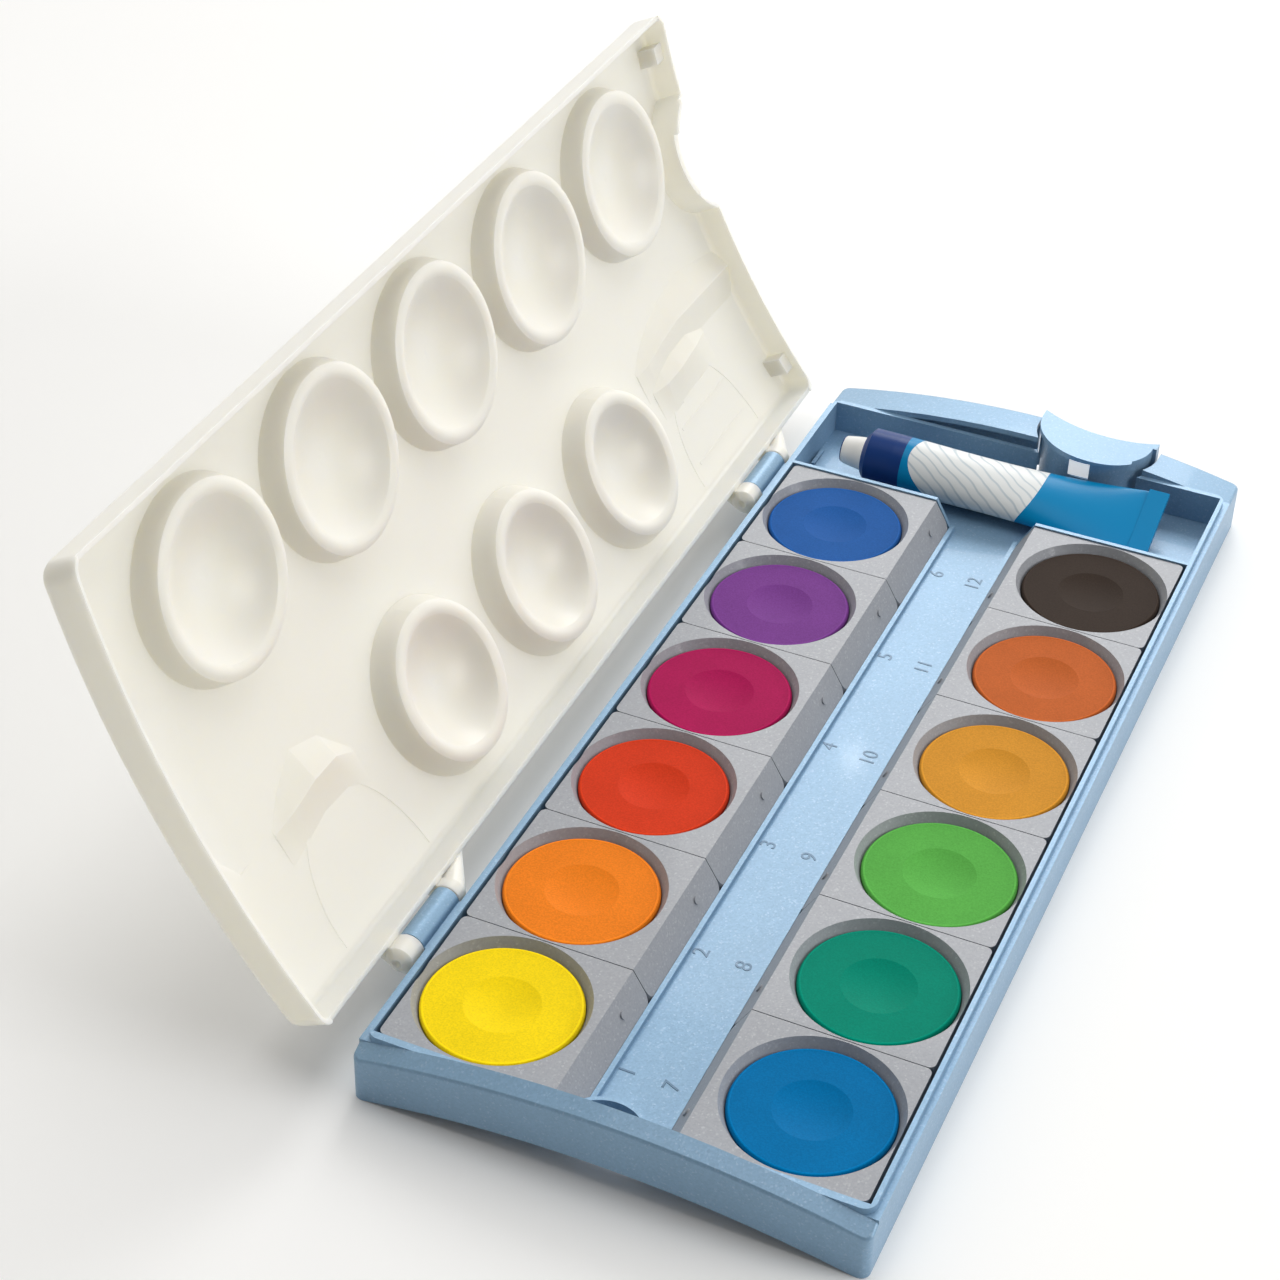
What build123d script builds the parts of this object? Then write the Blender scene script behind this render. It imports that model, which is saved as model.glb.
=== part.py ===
from build123d import *
import math
import os

# Gouache paint box: a vaulted tray with a hinged palette lid, twelve paint pans and a tube of white.
# Millimetres, +Z up. The hinge runs along Y on the left side, and the lid is drawn standing open.
# Sizes are set out from the tray's middle. The finished pieces are moved so that the origin lies
# in the plane that the tray stands on, at the middle of the hinge side's lower edge.

# ---- paint pans ----
PAN_COUNT = 6            # pans in a row
PAN_PITCH = 33.6         # along the row
PAN_GAP = 0.2            # between two pans
PAN_REACH = 37.94        # from the tray's side to the pan's foot at the channel
PAN_HEIGHT = 7.35
PAN_SLOPE_RUN = 3.6      # how far the channel side of a pan leans back
PAN_FOOT_HEIGHT = 1.22   # upright part under the slope
PAN_WALL = 1.0
PAN_CORNER_R = 1.3
PAN_END_GAP = 0.2        # from the last pan to the tray's end wall
PAN_SIDE_GAP = 0.7       # from a pan to the tray's side wall
NUB_R = 0.8              # moulding nub on the slope
NUB_HEIGHT = 0.35

# ---- paint tablets ----
TABLET_D = 30.0
TABLET_SINK = 1.35       # tablet's top below the pan's top
TABLET_FIT = 0.15        # radial gap in the cup
TABLET_EDGE_R = 0.7
TABLET_CENTRE = 16.22    # from the pan's outer side to the cup's axis
CUP_FLOOR = 1.0
WELL_D = 32.8            # mouth of the cup
WELL_DEPTH = 2.3
DIMPLE_D = 14.2
DIMPLE_DEPTH = 0.9

# ---- tray ----
FLOOR_TOP = 5.3
FLOOR_THICK = 1.2
KERB_INNER = 7.0         # half the width of the channel between the kerbs
KERB_THICK = 1.0
KERB_HEIGHT = 1.2
PAN_KERB_GAP = 0.06
RIM_THICK = 0.9          # thin rim round the pocket, along the sides
RIM_RISE = 0.35          # above the pans' tops
LEDGE_WIDTH = 1.2        # the lid's side walls stand on it
LEDGE_DROP = 1.5         # ledge below the rim
NEAR_RIM = 1.5
NEAR_STRIP = 3.5
NEAR_STRIP_DROP = 1.5    # the strip's outer edge below its inner edge
DIVIDER_THICK = 1.0
DIVIDER_GAP = 0.1
BAY_WIDTH = 27.9         # tube compartment, along Y
FAR_RIM = 1.3
FAR_STRIP = 9.9
FAR_STRIP_DROP = 0.4
STRIP_EDGE_R = 0.7       # rounding of the strips' outer top edges
ARCH_R = 225.0           # radius of the vault, seen from an end
ARCH_CORNER_DROP = 0.6   # strips at the corners, below the ledge
SKIRT_ARCH_R = 229.0     # arch cut under the end skirts
SKIRT_FOOT = 2.0         # what the arch leaves standing at each corner
TRAY_CORNER_R = 1.8
RIM_CORNER_R = 2.4       # plan corner of the thin rim, inside the lid's own corner
SKIN = 1.3               # moulded wall thickness
THUMB_R = 7.4            # half-round opening at the channel's near end
THUMB_RIB = 0.9
THUMB_RIB_HEIGHT = 0.9
THUMB_OFFSET = -1.8
THUMB_SET_BACK = 2.3     # its centre outside the pocket's end wall
BAY_RIB = (0.8, 6.2, 0.7)

# ---- hinge ----
AXIS_OUT = 3.2           # hinge axis outside the tray's side
AXIS_DROP = 0.8          # hinge axis below the ledge
BARREL_R = 2.8
BARREL_LENGTH = 14.0
BARREL_NEAR_Y = -87.5
BARREL_FAR_Y = 77.8
WEB_DROP = 0.3           # barrel's web below the ledge
HINGE_PIN_R = 1.25
PIN_CLEARANCE = 0.05
PIN_LENGTH = 3.6
BORE_SLACK = 0.5         # bore deeper than the pin
EAR_R = 2.9
EAR_GAP = 0.3            # between ear and barrel, along the axis
EAR_NEAR_THICK = 5.4
EAR_FAR_THICK = 2.4
EAR_DOME = 1.3           # how far the near ears bulge
EAR_DIMPLE_R = 1.4
EAR_DIMPLE_DEPTH = 0.6
EAR_CURL = 0.7           # where the web leaves the ear, as a share of its radius
FIN_LENGTH = 11.0        # far ears run out along the lid's side
FIN_TIP_R = 0.6
FIN_RISE = 3.3           # fin's tip above the axis
EAR_CLEAR = 0.3          # ear to the tray's side
EAR_WEB_TOP = 5.2        # web's height above the axis, on the lid's wall
OPEN_ANGLE = 116.0

# ---- lid ----
LID_SIDE_HEIGHT = 7.1
LID_PLATE = 1.2
LID_WALL = 1.0
LID_EDGE_GAP = 0.2       # lid's edge above the ledge
LID_ARCH_GAP = 0.3       # lid's end walls above the strips
LID_RIM_GAP = 1.6        # lid's far wall beyond the tray's rim
LID_NEAR_INSET = 0.5     # lid's near wall behind the tray's end
LID_CORNER_R = 3.5
LID_TOP_R = 2.2
WELL_COUNT = 5
WELL_PITCH = 42.6
WELL_ROW_X = 25.0
WELL_ROW_Y = -1.9
WELL_BASE_R = 19.6
WELL_CREST_R = 16.7
WELL_HEIGHT = 5.6
SMALL_COUNT = 3
SMALL_ROW_X = -26.3
SMALL_BASE_R = 18.5
SMALL_CREST_R = 14.7
BOWL_DROP = 0.35         # bowl's middle, into the plate
CREST_ROUND = 0.45
CREST_WIDTH = 3.0
LINE_WIDTH = 0.7         # raised lines on the palette
LINE_HEIGHT = 0.12
FOLD_HEIGHT = 2.2        # leaf-shaped folds, at their crease
FOLD_BACK = 7.0          # run of the back slope behind a crease
LEAF_DEPTH = 0.6         # long sunk leaf beside the near wall
PANEL_X = -46.2          # half-oval panels, open to the hinge side
PANEL_REACH = 24.0
PANEL_HALF = 16.5
PANEL_FAR_Y = 82.0
PANEL_NEAR_Y = -85.4
PANEL_LINES = ((-28.7, 6.5), (-33.2, 12.0), (-41.9, 13.0))       # X, half-length
PAD_SIZE = (4.0, 3.6)    # stubs on the far wall, near its two corners
PAD_X = 40.3
PAD_HEIGHT = 4.6
# folds: distance from the end wall, crease's X, ramp's width, share of the height
FOLD_FAR = ((0.0, -13.6, 4.4, 1.0), (18.6, -13.2, 7.5, 1.0), (29.6, -13.0, 6.2, 0.95),
            (38.6, -14.1, 5.2, 0.8), (46.6, -15.7, 3.6, 0.5), (51.6, -16.2, 1.0, 0.1))
FOLD_MIDDLE = ((19.6, -21.2, 1.0, 0.1), (27.6, -21.3, 5.6, 0.8), (36.6, -21.8, 6.0, 1.0),
               (43.6, -22.3, 4.7, 0.7), (49.1, -21.9, 1.0, 0.1))
FOLD_NEAR = ((21.7, -21.2, 1.0, 0.1), (27.7, -20.2, 4.5, 0.7), (35.7, -18.8, 7.0, 1.0),
             (43.7, -19.2, 5.0, 0.8), (49.7, -22.2, 1.0, 0.1))
# sunk leaf: X, near and far edge from the near wall, share of the depth
LEAF_STATIONS = ((18.0, 6.9, 11.5, 0.3), (14.5, 5.9, 15.0, 0.8), (8.5, 5.0, 14.7, 1.0),
                 (-1.5, 5.2, 14.5, 1.0), (-9.5, 5.9, 14.5, 1.0), (-16.5, 7.3, 14.9, 0.8),
                 (-21.0, 10.0, 14.5, 0.3))

# ---- latch ----
LATCH_X = 15.2
LATCH_R = 13.8           # the lip's half-round
LATCH_CENTRE_IN = 2.7    # its centre inside the tray's end face
LATCH_RISE = 2.1         # top above the far strip
LIP_HEIGHT = 1.2
LIP_OVERHANG = 0.9
LATCH_WALL = 1.3
LATCH_TOP = 1.5
LATCH_SCOOP = 4.3        # depth of the finger scoop
LATCH_SLIT = 0.7
LATCH_FOOT_GAP = 0.25
WINDOW_WIDTH = 5.0
WINDOW_OFFSET = 1.0      # to the hinge side of the tongue's middle
WINDOW_TOP_DROP = 0.3    # below the lip
WINDOW_HEIGHT = 4.4
NOTCH_GAP = 0.6          # lid's notch to the lip
NOTCH_DIP = 0.6          # notch's edge below the strip's top
CATCH_WIDTH = 15.0
CATCH_HEIGHT = 0.7
CATCH_BITE = 0.5         # how far the catch reaches under the lip
CATCH_PLAY = 0.25

# ---- tube of white ----
TUBE_R = 6.6
TUBE_BODY = 63.0         # shoulder to crimp
TUBE_ROUND = 6.0         # fully round part behind the shoulder
TUBE_CRIMP = 4.5
CRIMP_THICK = 1.2
CRIMP_WIDTH = 20.6
CRIMP_TILT = 20.0
CRIMP_LAP = 0.15         # folded crimp round the flattened end
CRIMP_SINK = 2.3         # crimp's middle below the shoulder's axis
CRIMP_SHIFT = 3.0        # crimp's middle further back than the shoulder's axis
SHOULDER_X = -31.5
TUBE_FROM_DIVIDER = 10.7
TUBE_LIFT = 0.3
SHOULDER_LENGTH = 1.4
NOZZLE_R = 3.0
NOZZLE_LENGTH = 5.6
NOZZLE_BORE_R = 1.5
CAP_R_OPEN = 4.9
CAP_R_END = 4.2
CAP_LENGTH = 7.3
CAP_TOP = 1.3
CAP_RIBS = 26
CAP_RIB_DEPTH = 0.3
CAP_GAP = 0.1            # cap to shoulder
CAP_CLEARANCE = 0.06

PAST = 1.0               # how far a cutting block runs past what it cuts

# ---- places worked out from the sizes ----
PAN_WIDTH = PAN_PITCH - PAN_GAP
KERB_OUTER = KERB_INNER + KERB_THICK
PAN_FOOT_X = KERB_OUTER + PAN_KERB_GAP
PAN_SIDE_X = PAN_FOOT_X + PAN_REACH
POCKET_X = PAN_SIDE_X + PAN_SIDE_GAP
RIM_X = POCKET_X + RIM_THICK
HALF_WIDTH = RIM_X + LEDGE_WIDTH
ROW_LENGTH = PAN_COUNT * PAN_PITCH
LENGTH = (NEAR_STRIP + NEAR_RIM + PAN_END_GAP + ROW_LENGTH + DIVIDER_GAP + DIVIDER_THICK
          + BAY_WIDTH + FAR_RIM + FAR_STRIP)
NEAR_Y = -LENGTH / 2
FAR_Y = LENGTH / 2
NEAR_RIM_Y = NEAR_Y + NEAR_STRIP
POCKET_NEAR_Y = NEAR_RIM_Y + NEAR_RIM
ROW_Y = POCKET_NEAR_Y + PAN_END_GAP
DIVIDER_Y = ROW_Y + ROW_LENGTH + DIVIDER_GAP
BAY_NEAR_Y = DIVIDER_Y + DIVIDER_THICK
BAY_FAR_Y = BAY_NEAR_Y + BAY_WIDTH
FAR_STRIP_Y = BAY_FAR_Y + FAR_RIM
PAN_TOP = FLOOR_TOP + PAN_HEIGHT
RIM_TOP = PAN_TOP + RIM_RISE
LEDGE_TOP = RIM_TOP - LEDGE_DROP
FLOOR_UNDER = FLOOR_TOP - FLOOR_THICK
AXIS_X = -HALF_WIDTH - AXIS_OUT
AXIS_Z = LEDGE_TOP - AXIS_DROP
LID_EDGE = LEDGE_TOP + LID_EDGE_GAP
LID_NEAR_Y = NEAR_Y + LID_NEAR_INSET
LID_FAR_Y = FAR_STRIP_Y + LID_RIM_GAP + LID_WALL
LATCH_Y = FAR_Y - LATCH_CENTRE_IN
TUBE_Y = BAY_NEAR_Y + TUBE_FROM_DIVIDER
TUBE_Z = FLOOR_TOP + TUBE_LIFT + TUBE_R
ORIGIN_X = SKIN / 2 - HALF_WIDTH

PAINTS_LEFT = ("yellow", "orange", "vermilion", "magenta", "violet", "ultramarine")
PAINTS_RIGHT = ("cyan_blue", "blue_green", "yellow_green", "ochre", "burnt_sienna", "black")


def arch(x):
    """Height of the vault over its springing at the tray's sides."""
    return math.sqrt(ARCH_R ** 2 - x ** 2) - math.sqrt(ARCH_R ** 2 - HALF_WIDTH ** 2)


def box(x0, x1, y0, y1, z0, z1):
    """A block between two corners."""
    block = Box(x1 - x0, y1 - y0, z1 - z0)
    return Pos((x0 + x1) / 2, (y0 + y1) / 2, (z0 + z1) / 2) * block


def vault_face(y, half, foot, spring):
    """Upright section at y: flat foot, two sides and the vault's arc on top."""
    top = spring + arch(half)
    crown = spring + arch(0)
    with BuildSketch(Plane(origin=(0, y, 0), x_dir=(1, 0, 0), z_dir=(0, -1, 0))) as section:
        with BuildLine():
            Polyline((-half, top), (-half, foot), (half, foot), (half, top))
            ThreePointArc((half, top), (0, crown), (-half, top))
        make_face()
    return section.sketch


def vault(y0, y1, half, foot, spring0, spring1):
    """Block under the vault from y0 to y1, whose springing may drop from one end to the other."""
    return loft([vault_face(y0, half, foot, spring0), vault_face(y1, half, foot, spring1)], ruled=True)


def plan_prism(x0, x1, y0, y1, radius, z0, z1):
    """Upright prism with rounded corners."""
    plan = Pos((x0 + x1) / 2, (y0 + y1) / 2, z0) * RectangleRounded(x1 - x0, y1 - y0, radius)
    return extrude(plan, amount=z1 - z0)


def disc(x, y, radius, z0, z1):
    """Upright cylinder between two heights."""
    return Pos(x, y, (z0 + z1) / 2) * Cylinder(radius, z1 - z0)


def rod(x, z, radius, y0, y1):
    """Cylinder along Y between two places."""
    return Pos(x, (y0 + y1) / 2, z) * Rot(90, 0, 0) * Cylinder(radius, y1 - y0)


def profile_y(points, y0, y1):
    """Closed outline in X and Z, drawn out along Y."""
    with BuildSketch(Plane(origin=(0, y0, 0), x_dir=(1, 0, 0), z_dir=(0, -1, 0))) as section:
        with BuildLine():
            Polyline(*points, close=True)
        make_face()
    return extrude(section.sketch, amount=-(y1 - y0))


# ---- tray ----
STRIP_SPRING = LEDGE_TOP - ARCH_CORNER_DROP
STRIP_TOP = STRIP_SPRING + arch(0)
OVER = 40.0              # a height above everything in the tray


def tray_shell():
    """Outer form: two vaulted end strips with a flat-rimmed trough between them."""
    near = vault(NEAR_Y, NEAR_RIM_Y, HALF_WIDTH, 0, STRIP_SPRING - NEAR_STRIP_DROP, STRIP_SPRING)
    far = vault(FAR_STRIP_Y, FAR_Y, HALF_WIDTH, 0, STRIP_SPRING, STRIP_SPRING - FAR_STRIP_DROP)
    trough = box(-HALF_WIDTH, HALF_WIDTH, NEAR_RIM_Y, FAR_STRIP_Y, 0, LEDGE_TOP)
    rim = plan_prism(-RIM_X, RIM_X, NEAR_RIM_Y, FAR_STRIP_Y, RIM_CORNER_R, 0, RIM_TOP)
    plan = plan_prism(-HALF_WIDTH, HALF_WIDTH, NEAR_Y, FAR_Y, TRAY_CORNER_R, 0, OVER)
    shell = (near + far + trough + rim) & plan
    ends = [edge for edge in shell.edges() if abs(edge.center().Y) > FAR_Y - SKIN / 2
            and edge.center().Z > LEDGE_TOP and edge.length > HALF_WIDTH]
    return fillet(ends, STRIP_EDGE_R)


def tray_hollows():
    """What the mould's core takes out from below: under the floor and inside both strips."""
    inner = HALF_WIDTH - SKIN
    under = box(-inner, inner, NEAR_Y + SKIN, FAR_Y - SKIN, -PAST, FLOOR_UNDER)
    near = vault(NEAR_Y + SKIN, NEAR_RIM_Y, inner, -PAST, STRIP_SPRING - NEAR_STRIP_DROP - SKIN,
                 STRIP_SPRING - SKIN)
    far = vault(FAR_STRIP_Y, FAR_Y - SKIN, inner, -PAST, STRIP_SPRING - SKIN,
                STRIP_SPRING - FAR_STRIP_DROP - SKIN)
    return under + near + far


def skirt_arch():
    """Arch under both end skirts, leaving a foot at each corner."""
    half = HALF_WIDTH - SKIRT_FOOT
    centre_z = -math.sqrt(SKIRT_ARCH_R ** 2 - half ** 2)
    arc = rod(0, centre_z, SKIRT_ARCH_R, NEAR_Y - PAST, FAR_Y + PAST)
    keep = box(-half, half, NEAR_Y - PAST, FAR_Y + PAST, -PAST, OVER)
    clear = box(-half - PAST, half + PAST, NEAR_Y + SKIN, FAR_Y - SKIN, -2 * PAST, OVER + PAST)
    return (arc & keep) - clear


def divider():
    """Wall between the pans and the tube, cut down to the channel by the pans' own slope."""
    wall = None
    for side in (-1, 1):
        outline = [(side * POCKET_X, FLOOR_TOP), (side * POCKET_X, RIM_TOP),
                   (side * (PAN_FOOT_X + PAN_SLOPE_RUN), RIM_TOP),
                   (side * PAN_FOOT_X, FLOOR_TOP + PAN_FOOT_HEIGHT),
                   (side * KERB_INNER, FLOOR_TOP + KERB_HEIGHT), (side * KERB_INNER, FLOOR_TOP)]
        half = profile_y(outline, DIVIDER_Y, BAY_NEAR_Y)
        wall = half if wall is None else wall + half
    return wall


def kerbs():
    """Low kerb along the foot of each row of pans."""
    left = box(-KERB_OUTER, -KERB_INNER, POCKET_NEAR_Y, DIVIDER_Y, FLOOR_UNDER, FLOOR_TOP + KERB_HEIGHT)
    return left + mirror(left, about=Plane.YZ)


def thumb_opening():
    """Half-round opening with a raised lip at the near end of the channel: (lip, hole)."""
    centre_y = POCKET_NEAR_Y - THUMB_SET_BACK
    top = FLOOR_TOP + THUMB_RIB_HEIGHT
    reach = box(-KERB_INNER, KERB_INNER, POCKET_NEAR_Y, POCKET_NEAR_Y + THUMB_R, 0, top)
    inner = THUMB_R - THUMB_RIB
    hole = disc(THUMB_OFFSET, centre_y, inner, 0, top) & reach
    lip = (disc(THUMB_OFFSET, centre_y, THUMB_R, FLOOR_UNDER, top) & reach) - hole
    return lip, hole


def barrels():
    """Two hinge barrels on the left side, each on a web."""
    both = None
    for middle in (BARREL_NEAR_Y, BARREL_FAR_Y):
        y0 = middle - BARREL_LENGTH / 2
        y1 = middle + BARREL_LENGTH / 2
        web = box(AXIS_X, SKIN - HALF_WIDTH, y0, y1, AXIS_Z - BARREL_R, LEDGE_TOP - WEB_DROP)
        barrel = web + rod(AXIS_X, AXIS_Z, BARREL_R, y0, y1)
        depth = PIN_LENGTH - EAR_GAP + BORE_SLACK
        bore = HINGE_PIN_R + PIN_CLEARANCE
        barrel -= rod(AXIS_X, AXIS_Z, bore, y0 - PAST, y0 + depth)
        barrel -= rod(AXIS_X, AXIS_Z, bore, y1 - depth, y1 + PAST)
        both = barrel if both is None else both + barrel
    return both


def latch_slot():
    """Slot that the latch tongue fills: half-round inside, open through the far end."""
    wide = LATCH_R + LATCH_SLIT
    round_part = disc(LATCH_X, LATCH_Y, wide, FLOOR_TOP, OVER)
    foot = disc(LATCH_X, LATCH_Y, LATCH_R - LIP_OVERHANG + LATCH_FOOT_GAP, -PAST, FLOOR_TOP + PAST)
    straight = box(LATCH_X - wide, LATCH_X + wide, LATCH_Y, FAR_Y + PAST, -PAST, OVER)
    return round_part + foot + straight


def tray():
    """The whole base moulding."""
    shell = tray_shell()
    shell -= box(-POCKET_X, POCKET_X, POCKET_NEAR_Y, BAY_FAR_Y, FLOOR_TOP, OVER)
    shell -= tray_hollows()
    shell -= skirt_arch()
    lip, hole = thumb_opening()
    shell = shell + divider() + kerbs() + lip - hole
    wide, long, high = BAY_RIB
    rib_x = -POCKET_X + wide / 2
    rib_y = BAY_NEAR_Y + BAY_WIDTH / 2
    shell += box(rib_x, rib_x + wide, rib_y - long / 2, rib_y + long / 2, FLOOR_UNDER, FLOOR_TOP + high)
    shell -= latch_slot()
    return shell + barrels()


# ---- latch ----
def lip_under():
    """Height of the underside of the latch's lip."""
    return STRIP_SPRING + arch(LATCH_X) + LATCH_RISE - LIP_HEIGHT


def latch_outline():
    """Crescent in plan: half-round towards the tray, scooped on the outside."""
    full = Pos(LATCH_X, LATCH_Y) * Circle(LATCH_R)
    straight = Pos(LATCH_X, (LATCH_Y + FAR_Y) / 2) * Rectangle(2 * LATCH_R, FAR_Y - LATCH_Y)
    beyond = Pos(LATCH_X, FAR_Y + LATCH_R) * Rectangle(4 * LATCH_R, 2 * LATCH_R)
    scoop_r = (LATCH_R ** 2 + LATCH_SCOOP ** 2) / (2 * LATCH_SCOOP)
    scoop = Pos(LATCH_X, FAR_Y + scoop_r - LATCH_SCOOP) * Circle(scoop_r)
    return full + straight - beyond - scoop


def latch():
    """Spring tongue: half-round wall with a lip, a top and a scooped outer skirt."""
    top = STRIP_TOP + LATCH_RISE
    outer = extrude(latch_outline(), amount=top - FLOOR_UNDER)
    outer = Pos(0, 0, FLOOR_UNDER) * outer
    vaulted = vault(BAY_NEAR_Y, FAR_Y + PAST, HALF_WIDTH, 0, STRIP_SPRING + LATCH_RISE,
                    STRIP_SPRING + LATCH_RISE - FAR_STRIP_DROP)
    wall_r = LATCH_R - LIP_OVERHANG
    below = disc(LATCH_X, LATCH_Y, LATCH_R + PAST, 0, lip_under()) - disc(LATCH_X, LATCH_Y, wall_r, 0, OVER)
    below = below & box(-HALF_WIDTH, HALF_WIDTH, BAY_NEAR_Y, LATCH_Y, 0, OVER)
    core = offset(latch_outline(), amount=-(LATCH_WALL + LIP_OVERHANG))
    hollow = extrude(core, amount=top - LATCH_TOP - arch(0) + arch(LATCH_X + LATCH_R))
    window_x = LATCH_X - WINDOW_OFFSET
    window_top = lip_under() - WINDOW_TOP_DROP
    window = box(window_x - WINDOW_WIDTH / 2, window_x + WINDOW_WIDTH / 2, LATCH_Y - LATCH_R - PAST,
                 LATCH_Y - LATCH_R / 2, window_top - WINDOW_HEIGHT, window_top)
    return (outer & vaulted) - below - hollow - window


def dish_middle(radius, rim, depth):
    """Halfway point, in radius and height, of a ball-shaped dish; a positive depth rises."""
    ball = (radius ** 2 + depth ** 2) / (2 * abs(depth))
    fall = math.sqrt(ball ** 2 - (radius / 2) ** 2) - math.sqrt(ball ** 2 - radius ** 2)
    return radius / 2, rim + math.copysign(fall, depth)


# ---- pans and paints ----
def pan(y):
    """One pan of the right-hand row, its middle at y."""
    y0 = y - PAN_WIDTH / 2
    y1 = y + PAN_WIDTH / 2
    slope_x = PAN_FOOT_X + PAN_SLOPE_RUN
    foot = FLOOR_TOP + PAN_FOOT_HEIGHT
    outline = [(PAN_FOOT_X, FLOOR_TOP), (PAN_SIDE_X, FLOOR_TOP), (PAN_SIDE_X, PAN_TOP),
               (slope_x, PAN_TOP), (PAN_FOOT_X, foot)]
    body = profile_y(outline, y0, y1)
    body = body & plan_prism(PAN_FOOT_X, PAN_SIDE_X, y0, y1, PAN_CORNER_R, FLOOR_TOP, PAN_TOP)
    w = PAN_WALL
    lean = math.hypot(PAN_SLOPE_RUN, PAN_HEIGHT - PAN_FOOT_HEIGHT) / (PAN_HEIGHT - PAN_FOOT_HEIGHT)
    inside = [(PAN_FOOT_X + w, 0), (PAN_SIDE_X - w, 0), (PAN_SIDE_X - w, PAN_TOP - w),
              (slope_x + w * lean - w * PAN_SLOPE_RUN / (PAN_HEIGHT - PAN_FOOT_HEIGHT), PAN_TOP - w),
              (PAN_FOOT_X + w, foot)]
    body -= profile_y(inside, y0 + w, y1 - w)
    centre = PAN_SIDE_X - TABLET_CENTRE
    cup_r = TABLET_D / 2 + TABLET_FIT
    cup = disc(centre, y, min(cup_r + w, PAN_WIDTH / 2), FLOOR_TOP, PAN_TOP - w / 2)
    body += cup & box(PAN_FOOT_X, PAN_SIDE_X, y0, y1, FLOOR_TOP, PAN_TOP)
    body -= disc(centre, y, cup_r, FLOOR_TOP + CUP_FLOOR, PAN_TOP + PAST)
    mouth = Pos(centre, y, PAN_TOP - WELL_DEPTH / 2) * Cone(cup_r, WELL_D / 2, WELL_DEPTH)
    body -= mouth
    nub_x = PAN_FOOT_X + PAN_SLOPE_RUN / 2
    nub_z = (foot + PAN_TOP) / 2
    tilt = math.degrees(math.atan2(PAN_HEIGHT - PAN_FOOT_HEIGHT, PAN_SLOPE_RUN))
    nub = Pos(nub_x, y - PAN_WIDTH / 4, nub_z) * Rot(0, -tilt, 0) * Cylinder(NUB_R, 2 * NUB_HEIGHT)
    return body + nub


def tablet(y):
    """One pressed paint tablet of the right-hand row."""
    r = TABLET_D / 2
    low = FLOOR_TOP + CUP_FLOOR
    high = PAN_TOP - TABLET_SINK
    dish_r = DIMPLE_D / 2
    edge = TABLET_EDGE_R
    bend = math.sqrt(0.5)
    with BuildSketch(Plane.XZ) as half:
        with BuildLine():
            Polyline((0, high - DIMPLE_DEPTH), (0, low), (r, low), (r, high - edge))
            ThreePointArc((r, high - edge), (r - edge + edge * bend, high - edge + edge * bend),
                          (r - edge, high))
            Line((r - edge, high), (dish_r, high))
            ThreePointArc((dish_r, high), dish_middle(dish_r, high, -DIMPLE_DEPTH), (0, high - DIMPLE_DEPTH))
        make_face()
    solid = revolve(half.sketch, axis=Axis.Z)
    return Pos(PAN_SIDE_X - TABLET_CENTRE, y, 0) * solid


# ---- lid ----
def lid_block(inset, drop, near, far):
    """The lid's outer or inner form, closed: a vaulted block with rounded corners and top edge."""
    half = HALF_WIDTH - inset
    spring = LID_EDGE + LID_SIDE_HEIGHT - drop
    block = vault(near + inset, far - inset, half, 0, spring, spring)
    radius = LID_CORNER_R - inset
    block = block & plan_prism(-half, half, near + inset, far - inset, radius, 0, OVER)
    top = block.faces().sort_by(Axis.Z)[-1]
    return fillet(top.edges(), LID_TOP_R - inset)


def plate_under(x):
    """Height of the closed lid's inner surface."""
    return LID_EDGE + LID_SIDE_HEIGHT - LID_PLATE + arch(x)


def lid_skin():
    """Outer form less the inner form, with the notch round the latch."""
    notch_r = LATCH_R + NOTCH_GAP
    outer = lid_block(0, 0, LID_NEAR_Y, LID_FAR_Y)
    inner = lid_block(LID_WALL, LID_PLATE, LID_NEAR_Y, LID_FAR_Y)
    inner -= disc(LATCH_X, LATCH_Y, notch_r + LID_WALL, -PAST, OVER)
    return outer - inner - disc(LATCH_X, LATCH_Y, notch_r, -PAST, OVER)


def lid_cuts():
    """What the free edge leaves out: under the vault at both ends, and under the sides."""
    gap = LID_ARCH_GAP
    near = vault(NEAR_Y, NEAR_RIM_Y, HALF_WIDTH + PAST, -PAST, STRIP_SPRING - NEAR_STRIP_DROP + gap,
                 STRIP_SPRING + gap)
    far = vault(FAR_STRIP_Y, FAR_Y, HALF_WIDTH + PAST, -PAST, STRIP_SPRING + gap, STRIP_SPRING + gap)
    notch_y = LATCH_Y - 2 * LATCH_R
    notch = vault(notch_y, FAR_STRIP_Y, LATCH_X + 2 * LATCH_R, -PAST, STRIP_SPRING - NOTCH_DIP,
                  STRIP_SPRING - NOTCH_DIP)
    reach = LATCH_R + NOTCH_GAP + 2 * LID_WALL
    notch = notch & box(LATCH_X - reach, LATCH_X + reach, notch_y, FAR_STRIP_Y, -PAST, OVER)
    low = lip_under() - CATCH_PLAY - CATCH_HEIGHT
    half_catch = CATCH_WIDTH / 2
    middle = box(LATCH_X - half_catch, LATCH_X + half_catch, notch_y, FAR_STRIP_Y, -PAST, low)
    sides = box(-HALF_WIDTH - PAST, HALF_WIDTH + PAST, NEAR_RIM_Y, FAR_STRIP_Y, -PAST, LID_EDGE)
    return near + far + notch + middle + sides


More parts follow.
